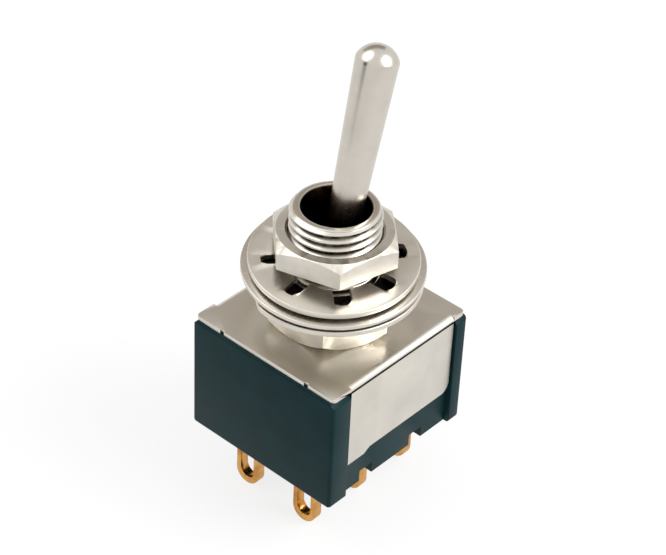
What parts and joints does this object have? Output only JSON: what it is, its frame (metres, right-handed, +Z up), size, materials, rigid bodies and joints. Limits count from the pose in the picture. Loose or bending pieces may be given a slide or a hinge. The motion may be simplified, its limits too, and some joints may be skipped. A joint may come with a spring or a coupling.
{
  "type": "toggle switch",
  "caption": "Miniature panel toggle switch: square sealed case with solder lugs, metal cover, threaded bushing with nuts and washers, and a tapered metal bat lever.",
  "frame": {"origin": "Centre of the metal cover's top face, on the bushing's axis: the plane that the hardware under the panel stands on.", "axes": "+Z up the bushing, towards the lever's tip; +X the way the lever leans at rest and along each row of lugs; +Y across the two rows of lugs."},
  "size_m": [0.0132, 0.0126, 0.0329],
  "materials": {
    "case_plastic": "moulded dark blue-green thermoset, satin",
    "cover_nickel": "nickel-plated pressed steel sheet",
    "bushing_nickel": "nickel-plated turned brass",
    "lever_chrome": "bright nickel-plated brass",
    "nut_nickel": "nickel-plated brass",
    "washer_nickel": "nickel-plated pressed steel",
    "carriage_plastic": "natural moulded plastic",
    "plunger_steel": "turned steel",
    "spring_steel": "drawn spring wire",
    "contact_silver": "silver-plated brass",
    "lug_gold": "gold-plated brass"
  },
  "bodies": {
    "housing": {"case": "case_plastic", "frame": "cover_nickel", "bushing": "bushing_nickel", "lower_nut": "nut_nickel", "locating_washer": "washer_nickel", "flat_washer": "washer_nickel", "toothed_washer": "washer_nickel", "upper_nut": "nut_nickel", "lug_front_common": "lug_gold", "lug_front_left": "lug_gold", "lug_front_right": "lug_gold", "lug_back_common": "lug_gold", "lug_back_left": "lug_gold", "lug_back_right": "lug_gold"},
    "lever_set": {"lever": "lever_chrome", "pivot_pin": "plunger_steel", "carriage": "carriage_plastic", "spring_front": "spring_steel", "spring_back": "spring_steel"},
    "plunger_front_set": {"plunger_front": "plunger_steel"},
    "plunger_back_set": {"plunger_back": "plunger_steel"},
    "rocker_front_set": {"rocker_front": "contact_silver"},
    "rocker_back_set": {"rocker_back": "contact_silver"}
  },
  "joints": [
    {"name": "lever_tilt", "type": "hinge", "parent": "housing", "child": "lever_set", "pos_m": [0, 0, 0.0038], "axis": [0, 1, 0], "range_deg": [-25, 0]},
    {"name": "rocker_front_tilt", "type": "hinge", "parent": "housing", "child": "rocker_front_set", "pos_m": [0, -0.0027, -0.00655], "axis": [0, 1, 0], "range_deg": [0, 14]},
    {"name": "rocker_back_tilt", "type": "hinge", "parent": "housing", "child": "rocker_back_set", "pos_m": [0, 0.0027, -0.00655], "axis": [0, 1, 0], "range_deg": [0, 14]},
    {"name": "plunger_front_slide", "type": "slide", "parent": "lever_set", "child": "plunger_front_set", "axis": [0.2164, 0, 0.9763], "range_m": [0, 0.0005], "stiffness_N_per_m": 200, "springref_m": -0.001, "deforming": ["spring_front"]},
    {"name": "plunger_back_slide", "type": "slide", "parent": "lever_set", "child": "plunger_back_set", "axis": [0.2164, 0, 0.9763], "range_m": [0, 0.0005], "stiffness_N_per_m": 200, "springref_m": -0.001, "deforming": ["spring_back"]}
  ],
  "couplings": [
    {"joint": "rocker_front_tilt", "follows": "lever_tilt", "ratio": -0.56},
    {"joint": "rocker_back_tilt", "follows": "lever_tilt", "ratio": -0.56}
  ]
}
